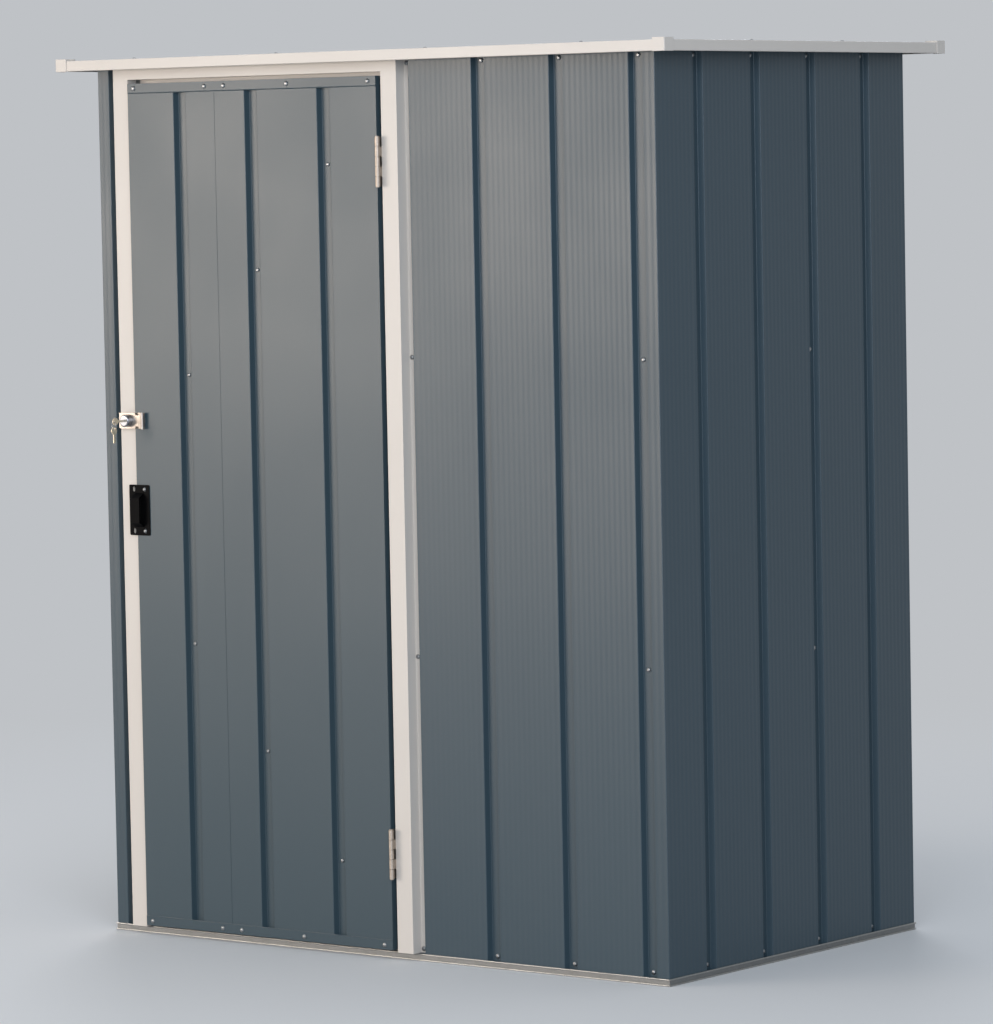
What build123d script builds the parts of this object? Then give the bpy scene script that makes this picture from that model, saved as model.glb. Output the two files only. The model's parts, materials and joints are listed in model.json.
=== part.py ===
from build123d import *
from math import hypot
import os

# Metal tool shed: ribbed sheet walls on a steel frame, flat overhanging roof, one hinged door.
# Millimetres. X runs along the front to the right, Y from the front to the back, Z is up.
# The origin is under the middle of the front base rail, on the ground.

# Overall sizes
body_width = 1460.0
body_depth = 871.5
roof_top = 1852.0
overhang_front = 56.0
overhang_side = 65.0

# Pressed wall sheet
sheet = 0.4
rib_pitch = 195.1
groove_width = 33.5
groove_depth = 12.5
groove_slope = 4.2
lap_gap = 2.0

# Base rail
rail_steel = 0.9
rail_lip = 15.0
rail_back = 42.0

# Upper rail and roof beam
upper_rail_height = 38.0
upper_rail_flange = 20.0
beam_width = 30.0
beam_lip = 10.0

# Roof edge trim
trim_steel = 0.6
trim_height = 22.0
trim_top_leg = 24.0
trim_under_leg = 10.0
cap_leg = 28.0
cap_wall = 2.0
cap_drop = 0.8
cap_round = 1.8

# Door frame in the front wall
jamb_steel = 0.7
jamb_width = 40.5
jamb_proud = 15.0
jamb_flange = 12.0
jamb_set = 2.6
jamb_right_shift = 0.3
header_height = 29.5
header_play = 4.0
stop_drop = 19.0

# Door leaf
door_bottom = 20.0
door_gap_top = 8.5
door_thickness = 25.0
door_proud = 22.0
door_gap_lock = 5.5
door_gap_hinge = 8.0
door_trim_steel = 0.8
door_trim_height = 20.0
stile_depth = 22.0
door_first_groove = 144.0
door_seam = 233.0
brace_width = 26.0
brace_steel = 1.2
brace_spread = 123.0
brace_inset = 27.0

# Hinges
hinge_length = 101.0
hinge_radius = 5.0
hinge_steel = 1.6
hinge_pin_radius = 2.5
pin_head = 1.2
pin_head_step = 1.0
hinge_play = 0.1
hinge_reach = 2.0
knuckle_play = 1.0
upper_hinge_drop = 173.0
lower_hinge_rise = 198.0
leaf_depth = 22.0
leaf_clear = 1.0

# Pull handle
handle_width = 56.0
handle_height = 107.0
handle_steel = 2.0
handle_rise = 15.0
handle_height_at = 903.5
handle_slot_x = 15.0
handle_slot_z = 44.0
handle_inset = 8.0
handle_corner = 3.0
slot_length = 11.0
slot_width = 7.0
grip_width = 24.0
grip_half = 36.0
grip_slope = 10.0
grip_steel = 3.0

# Hasp and keyed knob
hasp_steel = 1.5
hasp_height = 33.0
hasp_above_handle = 189.0
hasp_neck = 23.0
hasp_plate_width = 45.0
hasp_reach = 65.5
hasp_knuckle_radius = 3.8
hasp_pin_radius = 1.8
hasp_from_door_edge = 26.5
hasp_stand = 5.8
hasp_plate_inset = 2.0
hasp_corner = 2.5
hasp_play = 0.2
hasp_web = 2.0
hasp_neck_gap = 0.6
knob_radius = 13.0
knob_length = 14.0
knob_from_tip = 25.0
spindle_radius = 5.0
knob_round = 3.0
knob_play = 0.3
washer_rim = 2.0
washer_steel = 1.2
keeper_height = 30.0
keeper_steel = 1.6
keeper_inset = 2.0
keeper_edge = 1.0

# Keys
key_steel = 1.8
key_bow = 8.0
key_length = 30.0
key_stem = 5.0
key_hole = 2.6
key_out = 30.0
key_in = 8.0
key_slot_depth = 9.0
key_play = 0.1
bow_share = 0.55
ring_radius = 6.0
ring_wire = 0.8
ring_play = 0.3

# Worked out places
half_width = body_width / 2
rail_width = groove_depth + sheet + 2 * rail_steel
front = rail_steel - rail_width / 2
back = front + body_depth
groove_floor = groove_width - 2 * groove_slope
rails_top = roof_top - trim_steel - groove_depth - sheet
wall_bottom = rail_steel
wall_top = rails_top
front_groove_count = 8
side_groove_count = 4
first_front = (body_width - (front_groove_count - 1) * rib_pitch) / 2
first_side = (body_depth - (side_groove_count - 1) * rib_pitch) / 2
jamb_left = -half_width + first_front + groove_floor / 2 - jamb_set
jamb_right = -half_width + first_front + 4 * rib_pitch - jamb_set + jamb_right_shift
lock_jamb_edge = jamb_left + jamb_width
hinge_jamb_edge = jamb_right - jamb_width
jamb_face = front - jamb_proud
jamb_back = front + groove_depth
header_bottom = rails_top - header_height
door_left = lock_jamb_edge + door_gap_lock
door_right = hinge_jamb_edge - door_gap_hinge
door_front = front - door_proud
door_back = door_front + door_thickness
door_skin = door_front + door_trim_steel
door_top = header_bottom - door_gap_top
door_middle = (door_bottom + door_top) / 2
hinge_x = hinge_jamb_edge - hinge_reach
hinge_y = door_front - hinge_radius
upper_hinge_height = door_top - upper_hinge_drop
lower_hinge_height = door_bottom + lower_hinge_rise
hasp_height_at = handle_height_at + hasp_above_handle
hasp_x = door_left + hasp_from_door_edge
hasp_back = door_skin - hasp_stand
hasp_front = hasp_back - hasp_steel
knob_x = hasp_x - hasp_reach + knob_from_tip
knob_face = hasp_front - knob_play

os.makedirs("parts", exist_ok=True)


def save(shape, name, colour):
    """Write one node of the shed."""
    shape.label = name
    shape.color = Color(colour)
    export_step(shape, f"parts/{name}.step")


def box(x0, x1, y0, y1, z0, z1):
    """A box from its six faces."""
    return Pos((x0 + x1) / 2, (y0 + y1) / 2, (z0 + z1) / 2) * Box(x1 - x0, y1 - y0, z1 - z0)


def unit(a, b):
    """Unit vector from point a to point b."""
    length = hypot(b[0] - a[0], b[1] - a[1])
    return (b[0] - a[0]) / length, (b[1] - a[1]) / length


def shifted(points, thickness):
    """The same bent line, moved to its left by one sheet thickness with mitred bends."""
    moved = []
    for i, point in enumerate(points):
        before = unit(points[i - 1], point) if i else None
        after = unit(point, points[i + 1]) if i < len(points) - 1 else None
        first = before or after
        second = after or before
        share = thickness / (1 + first[0] * second[0] + first[1] * second[1])
        dx = -(first[1] + second[1]) * share
        dy = (first[0] + second[0]) * share
        moved.append((point[0] + dx, point[1] + dy))
    return moved


def bent_sheet(points, thickness, z0, z1):
    """Sheet folded along a line in plan and standing from z0 to z1."""
    outline = points + shifted(points, thickness)[::-1]
    face = make_face(Polyline(*outline, close=True))
    return Pos(0, 0, z0) * extrude(face, z1 - z0, dir=(0, 0, 1))


def bent_rail(points, thickness, x0, x1):
    """Section folded in the Y and Z plane and running along X. Points are (y, z)."""
    outline = points + shifted(points, thickness)[::-1]
    face = make_face(Plane.YZ * Polyline(*outline, close=True))
    return Pos(x0, 0, 0) * extrude(face, x1 - x0, dir=(1, 0, 0))


# Places along the wall line, which runs round the shed from the front left corner
corner_marks = [0.0, body_width, body_width + body_depth, 2 * body_width + body_depth]
perimeter = 2 * (body_width + body_depth)


def on_wall(mark, depth):
    """Plan point at a distance along the wall line and a depth behind its outer plane."""
    mark = mark % perimeter
    if mark < corner_marks[1]:
        return -half_width + mark, front + depth
    if mark < corner_marks[2]:
        return half_width - depth, front + mark - corner_marks[1]
    if mark < corner_marks[3]:
        return half_width - (mark - corner_marks[2]), back - depth
    return -half_width + depth, back - (mark - corner_marks[3])


def corner_point(number):
    """Plan point of one corner of the outer wall plane."""
    corners = [(-half_width, front), (half_width, front), (half_width, back), (-half_width, back)]
    return corners[number % 4]


groove_marks = []
for side in range(4):
    count = side_groove_count if side % 2 else front_groove_count
    start = corner_marks[side] + (first_side if side % 2 else first_front)
    groove_marks += [start + k * rib_pitch for k in range(count)]


def wall_line(first, last, start_depth):
    """Outer line of one sheet, from the lap in one groove to the lap in a later one."""
    half_floor = groove_floor / 2
    half_top = groove_width / 2
    total = len(groove_marks)
    here = groove_marks[first]
    points = [
        on_wall(here - half_floor + lap_gap, start_depth),
        on_wall(here + half_floor, start_depth),
        on_wall(here + half_top, 0),
    ]
    for step in range(first + 1, last + 1):
        before = groove_marks[(step - 1) % total]
        mark = groove_marks[step % total]
        for number, corner in enumerate(corner_marks):
            place = corner if corner > before else corner + perimeter
            reach = mark if mark > before else mark + perimeter
            if before < place < reach:
                points.append(corner_point(number))
        points += [on_wall(mark - half_top, 0), on_wall(mark - half_floor, groove_depth)]
        if step < last:
            points += [on_wall(mark + half_floor, groove_depth), on_wall(mark + half_top, 0)]
        else:
            points.append(on_wall(mark + half_floor - lap_gap, groove_depth))
    return points


# Wall sheets: grooves 0 to 7 are in front, 8 to 11 right, 12 to 19 behind, 20 to 23 left
wall_sheets = {
    "front_wall": (4, 7),
    "corner_wall_front_right": (7, 10),
    "corner_wall_back_right": (10, 13),
    "back_wall_right": (13, 16),
    "back_wall_left": (16, 18),
    "corner_wall_back_left": (18, 21),
    "corner_wall_front_left": (21, 24),
}
for name, (first, last) in wall_sheets.items():
    start_depth = groove_depth if name == "front_wall" else groove_depth - sheet
    line = wall_line(first, last, start_depth)
    save(bent_sheet(line, sheet, wall_bottom, wall_top), name, "slategray")


# Which way is out at each corner, in X and in Y
signs = [(-1, -1), (1, -1), (1, 1), (-1, 1)]
cut_over = 10.0
rail_cut_reach = 20.0
trim_cut_depth = 200.0


def sector(side, reach):
    """Tall block over one side of the shed, cut at 45 degrees at the corners."""
    inset = min(body_width, body_depth) / 2 - 1
    low, high = side, (side + 1) % 4
    outer = [
        (corner_point(i)[0] + signs[i][0] * reach, corner_point(i)[1] + signs[i][1] * reach)
        for i in (low, high)
    ]
    inner = [
        (corner_point(i)[0] - signs[i][0] * inset, corner_point(i)[1] - signs[i][1] * inset)
        for i in (high, low)
    ]
    return extrude(make_face(Polyline(*outer, *inner, close=True)), roof_top + cut_over, dir=(0, 0, 1))


def ring(out_x, out_y, in_x, in_y, z0, z1):
    """Rectangular band round the shed, between two offsets from the outer wall plane."""
    outer = box(-half_width - out_x, half_width + out_x, front - out_y, back + out_y, z0, z1)
    inner = box(-half_width - in_x, half_width + in_x, front - in_y, back + in_y, z0 - 1, z1 + 1)
    return outer - inner


# Base rail: a lip outside the wall, a web under it and a taller lip behind it
wall_inside = groove_depth + sheet
leg_out = -wall_inside
leg_in = -wall_inside - rail_steel
rail_ring = ring(rail_steel, rail_steel, 0, 0, 0, rail_lip)
rail_ring += ring(rail_steel, rail_steel, leg_in, leg_in, 0, rail_steel)
rail_ring += ring(leg_out, leg_out, leg_in, leg_in, 0, rail_back)
side_names = ["front", "right", "back", "left"]
doorway = box(lock_jamb_edge, hinge_jamb_edge, jamb_back, jamb_back + rail_width, rail_lip, rail_back + 1)
for side, side_name in enumerate(side_names):
    rail = rail_ring & sector(side, rail_cut_reach)
    if side == 0:
        rail -= doorway
    save(rail, f"base_rail_{side_name}", "silver")

# Upper rail: a leg behind the wall sheets and a flange turned into the shed
flange_in = leg_in - upper_rail_flange
upper_ring = ring(leg_out, leg_out, leg_in, leg_in, rails_top - upper_rail_height, rails_top)
upper_ring += ring(leg_out, leg_out, flange_in, flange_in, rails_top - rail_steel, rails_top)
for side, side_name in enumerate(side_names):
    save(upper_ring & sector(side, 0), f"upper_rail_{side_name}", "silver")

# Roof beam across the middle, a hat section under the roof sheets
beam_ends = half_width + leg_in
beam_low = rails_top - upper_rail_height
beam_middle = (front + back) / 2
beam_line = [
    (beam_middle - beam_width / 2 - beam_lip, beam_low),
    (beam_middle - beam_width / 2, beam_low),
    (beam_middle - beam_width / 2, rails_top - rail_steel),
    (beam_middle + beam_width / 2, rails_top - rail_steel),
    (beam_middle + beam_width / 2, beam_low),
    (beam_middle + beam_width / 2 + beam_lip, beam_low),
]
beam = bent_rail(beam_line, rail_steel, -beam_ends, beam_ends)
for side in (-1, 1):
    cope_x = sorted([side * (beam_ends + 1), side * (beam_ends - upper_rail_flange)])
    cope_y = (beam_middle - beam_width, beam_middle + beam_width)
    beam -= box(*cope_x, *cope_y, rails_top - rail_steel, rails_top + 1)
save(beam, "roof_beam", "silver")

# Roof sheets: the same grooves, running from front to back and open upwards
roof_left = -half_width - overhang_side + trim_steel
roof_right = -roof_left
roof_front = front - overhang_front + trim_steel
roof_back = back + overhang_front - trim_steel
roof_grooves = [-half_width + first_front + k * rib_pitch for k in range(front_groove_count)]
roof_level = rails_top + sheet + groove_depth


def roof_line(first, last):
    """Upper line of one roof sheet in the X and Z plane, lapped like the wall sheets."""
    half_floor = groove_floor / 2
    half_top = groove_width / 2
    low = roof_level - groove_depth
    points = [(roof_left, roof_level)]
    if first is not None:
        start = roof_grooves[first]
        points = [
            (start - half_floor + lap_gap, low + sheet),
            (start + half_floor, low + sheet),
            (start + half_top, roof_level),
        ]
    inside = range(0 if first is None else first + 1, len(roof_grooves) if last is None else last)
    for k in inside:
        mark = roof_grooves[k]
        points += [
            (mark - half_top, roof_level),
            (mark - half_floor, low),
            (mark + half_floor, low),
            (mark + half_top, roof_level),
        ]
    if last is None:
        points.append((roof_right, roof_level))
    else:
        mark = roof_grooves[last]
        points += [
            (mark - half_top, roof_level),
            (mark - half_floor, low),
            (mark + half_floor - lap_gap, low),
        ]
    return points


roof_sheets = {
    "roof_sheet_left": (None, 2),
    "roof_sheet_middle": (2, 5),
    "roof_sheet_right": (5, None),
}
for name, (first, last) in roof_sheets.items():
    upper = roof_line(first, last)
    lower = [(x, z) for x, z in shifted(upper, -sheet)]
    face = make_face(Plane.XZ * Polyline(*upper, *lower[::-1], close=True))
    panel = Pos(0, roof_front, 0) * extrude(face, roof_back - roof_front, dir=(0, 1, 0))
    save(panel, name, "slategray")

# Roof edge trim: a C section that holds the sheet ends, mitred at the corners
trim_bottom = roof_top - trim_height
face_x, face_y = overhang_side, overhang_front
top_x, top_y = face_x - trim_top_leg, face_y - trim_top_leg
under_x, under_y = face_x - trim_under_leg, face_y - trim_under_leg
trim_ring = ring(face_x, face_y, face_x - trim_steel, face_y - trim_steel, trim_bottom, roof_top)
trim_ring += ring(face_x, face_y, top_x, top_y, roof_top - trim_steel, roof_top)
trim_ring += ring(face_x, face_y, under_x, under_y, trim_bottom, trim_bottom + trim_steel)


def roof_sector(side):
    """Block over one roof edge, cut where the corner trims meet."""
    near, far = side, (side + 1) % 4
    outer = [
        (corner_point(i)[0] + signs[i][0] * face_x, corner_point(i)[1] + signs[i][1] * face_y)
        for i in (near, far)
    ]
    inner = [
        (x - signs[i][0] * trim_cut_depth, y - signs[i][1] * trim_cut_depth)
        for (x, y), i in zip(outer, (near, far))
    ]
    outline = Polyline(outer[0], outer[1], inner[1], inner[0], close=True)
    return extrude(make_face(outline), roof_top + cut_over, dir=(0, 0, 1))


for side, side_name in enumerate(side_names):
    save(trim_ring & roof_sector(side), f"roof_trim_{side_name}", "linen")

# Corner caps over the mitres of the trim
corner_names = ["front_left", "front_right", "back_right", "back_left"]
for (sx, sy), corner_name in zip(signs, corner_names):
    cx = sx * (half_width + face_x)
    cy = (front - face_y) if sy < 0 else (back + face_y)
    span_x = sorted([cx + sx * cap_wall, cx - sx * cap_leg])
    span_y = sorted([cy + sy * cap_wall, cy - sy * cap_leg])
    hollow_x = sorted([cx, cx - sx * (cap_leg + 1)])
    hollow_y = sorted([cy, cy - sy * (cap_leg + 1)])
    cap = box(*span_x, *span_y, trim_bottom - cap_drop, roof_top + cap_wall)
    cap -= box(*hollow_x, *hollow_y, trim_bottom - cut_over, roof_top)
    upright = cap.edges().filter_by(Axis.Z).group_by(SortBy.LENGTH)[-1]
    outer_edge = upright.sort_by(lambda e: -abs(e.center().X) - abs(e.center().Y))[0]
    cap = fillet(outer_edge, cap_round)
    save(cap, f"roof_corner_{corner_name}", "linen")


def jamb_line(left):
    """Hat section of one jamb in plan, from its left flange to its right flange."""
    return [
        (left - jamb_flange, jamb_back - jamb_steel),
        (left, jamb_back - jamb_steel),
        (left, jamb_face),
        (left + jamb_width, jamb_face),
        (left + jamb_width, jamb_back - jamb_steel),
        (left + jamb_width + jamb_flange, jamb_back - jamb_steel),
    ]


# Door jambs, standing on the base rail with their outer flanges in the wall grooves.
# The outer web and flange of each go on up to the roof, past the end of the header.
for name, left, stop_side in (("left_jamb", jamb_left, 1), ("right_jamb", hinge_jamb_edge, -1)):
    line = jamb_line(left)
    outer_line = line[:3] if stop_side > 0 else line[3:]
    jamb = bent_sheet(line, jamb_steel, rail_lip, header_bottom)
    jamb += bent_sheet(outer_line, jamb_steel, header_bottom, rails_top)
    stop_edge = left + jamb_width if stop_side > 0 else left
    notch = sorted([stop_edge, stop_edge + stop_side * (jamb_flange + 1)])
    jamb -= box(*notch, jamb_back - 2, jamb_back + 1, header_bottom - stop_drop, header_bottom + 1)
    save(jamb, name, "linen")

# Header over the door: a channel with a stop strip hanging behind the door's top edge
header_line = [
    (jamb_back, rails_top - jamb_steel),
    (jamb_face, rails_top - jamb_steel),
    (jamb_face, header_bottom),
    (jamb_back - jamb_steel, header_bottom),
]
header_inset = jamb_steel + header_play
header = bent_rail(header_line, jamb_steel, jamb_left + header_inset, jamb_right - header_inset)
stop_left = lock_jamb_edge + jamb_flange
stop_right = hinge_jamb_edge - jamb_flange
stop_strip = box(
    stop_left,
    stop_right,
    jamb_back - jamb_steel,
    jamb_back,
    header_bottom - stop_drop,
    header_bottom + jamb_steel,
)
save(header + stop_strip, "door_header", "linen")

# Door skins: smooth sheets with the wall's grooves, lapped at an upright seam
skin_bottom = door_bottom + door_trim_steel
skin_top = door_top - door_trim_steel
door_grooves = [door_left + door_first_groove + k * rib_pitch for k in range(3)]
seam_x = door_left + door_seam


def groove_points(mark):
    """Line of one groove in a door skin."""
    half_floor = groove_floor / 2
    half_top = groove_width / 2
    return [
        (mark - half_top, door_skin),
        (mark - half_floor, door_skin + groove_depth),
        (mark + half_floor, door_skin + groove_depth),
        (mark + half_top, door_skin),
    ]


left_line = [(door_left, door_skin)]
for mark in [m for m in door_grooves if m < seam_x]:
    left_line += groove_points(mark)
left_line.append((seam_x, door_skin))
right_line = [(seam_x, door_skin)]
for mark in [m for m in door_grooves if m > seam_x]:
    right_line += groove_points(mark)
right_line.append((door_right, door_skin))
save(bent_sheet(left_line, sheet, skin_bottom, skin_top), "door_skin_left", "slategray")
save(bent_sheet(right_line, sheet, skin_bottom, skin_top), "door_skin_right", "slategray")

# Door rails: channels over the top and bottom ends of the skins
for name, edge, up in (("door_rail_bottom", door_bottom, 1), ("door_rail_top", door_top, -1)):
    lip = edge + up * door_trim_height
    span = sorted([edge, lip])
    hollow = sorted([edge + up * door_trim_steel, lip + up])
    inner_front = door_front + door_trim_steel
    inner_back = door_back - door_trim_steel
    rail = box(door_left, door_right, door_front, door_back, *span)
    rail -= box(door_left - 1, door_right + 1, inner_front, inner_back, *hollow)
    save(rail, name, "slategray")

# Door stiles: channels inside the door's upright edges
stile_front = door_skin + sheet
stile_back = door_back - door_trim_steel
for name, edge, inward in (("door_stile_lock", door_left, 1), ("door_stile_hinge", door_right, -1)):
    line = [
        (edge + inward * stile_depth, stile_front),
        (edge, stile_front),
        (edge, stile_back),
        (edge + inward * stile_depth, stile_back),
    ]
    turned = line if inward < 0 else line[::-1]
    stile = bent_sheet(turned, door_trim_steel, skin_bottom, skin_top)
    save(stile, name, "slategray")

# Door braces: flat bars behind the grooves, from mid height of the lock side to the hinge corners
brace_front = door_skin + groove_depth + sheet
brace_left = door_left + door_trim_steel
brace_right = door_right - door_trim_steel
half_brace = brace_width / 2
brace_corners = {
    "door_brace_upper": (1, skin_top - brace_inset),
    "door_brace_lower": (-1, skin_bottom + brace_inset),
}
for name, (up, corner) in brace_corners.items():
    low = door_middle + up * brace_spread
    rise = corner - low
    run = brace_right - brace_left
    half_height = half_brace * hypot(run, rise) / run
    outline = [
        (brace_left, low - half_height),
        (brace_right, corner - half_height),
        (brace_right, corner + half_height),
        (brace_left, low + half_height),
    ]
    face = make_face(Plane.XZ * Polyline(*outline, close=True))
    brace = Pos(0, brace_front, 0) * extrude(face, brace_steel, dir=(0, 1, 0))
    save(brace, name, "silver")


def upright_cylinder(x, y, radius, z0, z1):
    """Cylinder standing on Z."""
    return Pos(x, y, (z0 + z1) / 2) * Cylinder(radius, z1 - z0)


def knuckle_spans(middle, wanted):
    """Heights of every second knuckle of a five knuckle hinge."""
    each = hinge_length / 5
    low = middle - hinge_length / 2
    spans = []
    for k in wanted:
        spans.append((low + k * each + knuckle_play / 2, low + (k + 1) * each - knuckle_play / 2))
    return spans


def hinge_leaf(middle, wanted, plate_x, own_side, notch):
    """Leaf plate notched between its knuckles, which are bored for the pin."""
    low = middle - hinge_length / 2
    high = middle + hinge_length / 2
    leaf = box(*plate_x, notch, hinge_leaf_front + leaf_depth, low, high)
    for z0, z1 in knuckle_spans(middle, wanted):
        leaf += box(*plate_x, own_side, notch + 1, z0, z1)
        leaf += upright_cylinder(hinge_x, hinge_y, hinge_radius, z0, z1)
    return leaf - upright_cylinder(hinge_x, hinge_y, hinge_pin_radius + hinge_play, low - 1, high + 1)


hinge_leaf_front = hinge_y + hinge_radius + leaf_clear
frame_notch = max(jamb_face + leaf_clear, hinge_leaf_front)
door_plate_x = hinge_x - hinge_radius - leaf_clear
door_plate = (door_plate_x, door_plate_x + hinge_steel)
frame_plate = (hinge_jamb_edge - hinge_steel, hinge_jamb_edge)
for place, middle in (("upper", upper_hinge_height), ("lower", lower_hinge_height)):
    door_leaf = hinge_leaf(middle, (0, 2, 4), door_plate, hinge_y, hinge_leaf_front)
    frame_side = hinge_y + hinge_pin_radius + 1
    frame_leaf = hinge_leaf(middle, (1, 3), frame_plate, frame_side, frame_notch)
    pin_low = middle - hinge_length / 2
    pin_high = pin_low + hinge_length
    pin = upright_cylinder(hinge_x, hinge_y, hinge_pin_radius, pin_low, pin_high)
    head = hinge_radius - pin_head_step
    pin += upright_cylinder(hinge_x, hinge_y, head, pin_low - pin_head, pin_low)
    pin += upright_cylinder(hinge_x, hinge_y, head, pin_high, pin_high + pin_head)
    save(door_leaf, f"hinge_{place}_door_leaf", "tan")
    save(frame_leaf, f"hinge_{place}_frame_leaf", "tan")
    save(pin, f"hinge_{place}_pin", "tan")

# Pull handle: a pressed plate with a bowed grip and four slots
handle_x = door_left + handle_inset
handle_back = door_skin
plate = Pos(handle_x, handle_back - handle_steel / 2, handle_height_at) * Box(
    handle_width, handle_steel, handle_height
)
plate = fillet(plate.edges().filter_by(Axis.Y), handle_corner)
foot = handle_back - handle_steel
crown = handle_back - handle_rise - handle_steel
grip_outside = [
    (foot, handle_height_at - grip_half),
    (crown, handle_height_at - grip_half + grip_slope),
    (crown, handle_height_at + grip_half - grip_slope),
    (foot, handle_height_at + grip_half),
]
grip = bent_rail(grip_outside, -grip_steel, handle_x - grip_width / 2, handle_x + grip_width / 2)
grip &= box(
    handle_x - handle_width,
    handle_x + handle_width,
    crown - 1,
    foot + handle_steel / 4,
    handle_height_at - handle_height,
    handle_height_at + handle_height,
)
handle = plate + grip
for sx in (-1, 1):
    for sz in (-1, 1):
        slot = Pos(handle_x + sx * handle_slot_x, handle_back, handle_height_at + sz * handle_slot_z)
        hole = extrude(SlotOverall(slot_length, slot_width, rotation=90), handle_rise, both=True)
        handle -= slot * Rot(90, 0, 0) * hole
save(handle, "door_handle", "black")

# Hasp: a plate on the door, a strap that folds over the jamb and a pin between them
hasp_low = hasp_height_at - hasp_height / 2
hasp_high = hasp_height_at + hasp_height / 2
hasp_y = hasp_back - hasp_knuckle_radius + hasp_steel
third = hasp_height / 3
plate_left = door_left + hasp_plate_inset
middle_low = hasp_low + third + hasp_play
middle_high = hasp_high - third - hasp_play
plate = box(plate_left, hasp_x, door_skin - hasp_steel, door_skin, hasp_low, hasp_high)
plate += box(hasp_x - hasp_web / 2, hasp_x + hasp_web / 2, hasp_y, door_skin, middle_low, middle_high)
plate += upright_cylinder(hasp_x, hasp_y, hasp_knuckle_radius, middle_low, middle_high)
plate -= upright_cylinder(hasp_x, hasp_y, hasp_pin_radius + hinge_play, hasp_low - 1, hasp_high + 1)
save(plate, "hasp_door_plate", "gainsboro")

tip = hasp_x - hasp_reach
neck_end = tip + hasp_plate_width
strap = box(tip, neck_end, hasp_front, hasp_back, hasp_low, hasp_high)
strap = fillet(strap.edges().filter_by(Axis.Y), hasp_corner)
half_neck = hasp_neck / 2
strap += box(
    neck_end - 1,
    hasp_x - hasp_knuckle_radius - hasp_neck_gap,
    hasp_front,
    hasp_back,
    hasp_height_at - half_neck,
    hasp_height_at + half_neck,
)
for z0, z1 in ((hasp_low, hasp_low + third), (hasp_high - third, hasp_high)):
    strap += upright_cylinder(hasp_x, hasp_y, hasp_knuckle_radius, z0, z1)
    strap += box(hasp_x - hasp_knuckle_radius - hasp_web, hasp_x, hasp_front, hasp_back, z0, z1)
strap -= upright_cylinder(hasp_x, hasp_y, hasp_pin_radius + hinge_play, hasp_low - 1, hasp_high + 1)
spindle_hole = Rot(90, 0, 0) * Cylinder(spindle_radius + hinge_play, knob_radius)
strap -= Pos(knob_x, hasp_front, hasp_height_at) * spindle_hole
save(strap, "hasp_strap", "gainsboro")

hasp_pin = upright_cylinder(hasp_x, hasp_y, hasp_pin_radius, hasp_low, hasp_high)
hasp_pin += upright_cylinder(hasp_x, hasp_y, hasp_knuckle_radius - 1, hasp_low - 1, hasp_low)
hasp_pin += upright_cylinder(hasp_x, hasp_y, hasp_knuckle_radius - 1, hasp_high, hasp_high + 1)
save(hasp_pin, "hasp_pin", "gainsboro")

# Keeper on the jamb behind the strap
keeper = box(
    tip + keeper_inset,
    lock_jamb_edge - keeper_edge,
    jamb_face - keeper_steel,
    jamb_face,
    hasp_height_at - keeper_height / 2,
    hasp_height_at + keeper_height / 2,
)
save(keeper, "lock_keeper", "gainsboro")


def along_y(x, z, radius, y0, y1):
    """Cylinder lying on Y."""
    return Pos(x, (y0 + y1) / 2, z) * Rot(90, 0, 0) * Cylinder(radius, y1 - y0)


# Knob with a key slot, its spindle through the strap and a washer behind it
knob_front = knob_face - knob_length
knob = along_y(knob_x, hasp_height_at, knob_radius, knob_front, knob_face)
knob = fillet(knob.edges().filter_by(GeomType.CIRCLE).sort_by(Axis.Y)[0], knob_round)
washer_front = hasp_back + knob_play
washer_back = washer_front + washer_steel
knob += along_y(knob_x, hasp_height_at, spindle_radius, knob_face - 1, washer_back)
knob += along_y(knob_x, hasp_height_at, spindle_radius + washer_rim, washer_front, washer_back)
key_slot = box(
    knob_x - key_steel / 2,
    knob_x + key_steel / 2,
    knob_front - 1,
    knob_front + key_slot_depth,
    hasp_height_at - key_stem / 2,
    hasp_height_at + key_stem / 2,
)
knob -= key_slot
save(knob, "lock_knob", "silver")


def key_outline(length):
    """Flat key in the X and Y plane: bow hole at the origin, stem along -X."""
    bow = Pos(-key_bow * bow_share, 0) * Circle(key_bow)
    stem = Pos(-length / 2, 0) * Rectangle(length, key_stem)
    return bow + stem - Circle(key_hole)


# Key in the knob, standing on edge, with its bow outside
bow_y = knob_front - key_out
key_face = Plane.YZ * (Rot(0, 0, 180) * key_outline(key_out + key_in))
key_width = key_steel - 2 * key_play
key = extrude(key_face, key_width, dir=(1, 0, 0))
key = Pos(knob_x - key_width / 2, bow_y, hasp_height_at) * key
save(key, "lock_key", "gold")

# Ring that hangs in the bow of that key, and the spare key that hangs from the ring
hang = key_hole - ring_wire - ring_play
ring_z = hasp_height_at - hang - ring_radius
ring_shape = Pos(knob_x, bow_y, ring_z) * Rot(90, 0, 0) * Torus(ring_radius, ring_wire)
save(ring_shape, "key_ring", "silver")
spare_z = ring_z - ring_radius - hang
spare_face = Plane.YZ * (Rot(0, 0, 90) * key_outline(key_length))
spare = Pos(knob_x - key_steel / 2, bow_y, spare_z) * extrude(spare_face, key_steel, dir=(1, 0, 0))
save(spare, "spare_key", "gold")
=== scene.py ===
# %% [markdown]
# # Metal tool shed
#
# A small garden shed of pressed steel sheet on a light steel frame, with one hinged door.
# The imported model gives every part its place, in metres: X runs along the front, Y from the
# front to the back and Z is up. This lesson dresses that model. The flutes of the wall sheets
# and the screws repeat by a rule, so Geometry Nodes make them. The finishes are procedural.

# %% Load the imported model
import json
import math

import bmesh
import bpy
from mathutils import Matrix, Vector


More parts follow.
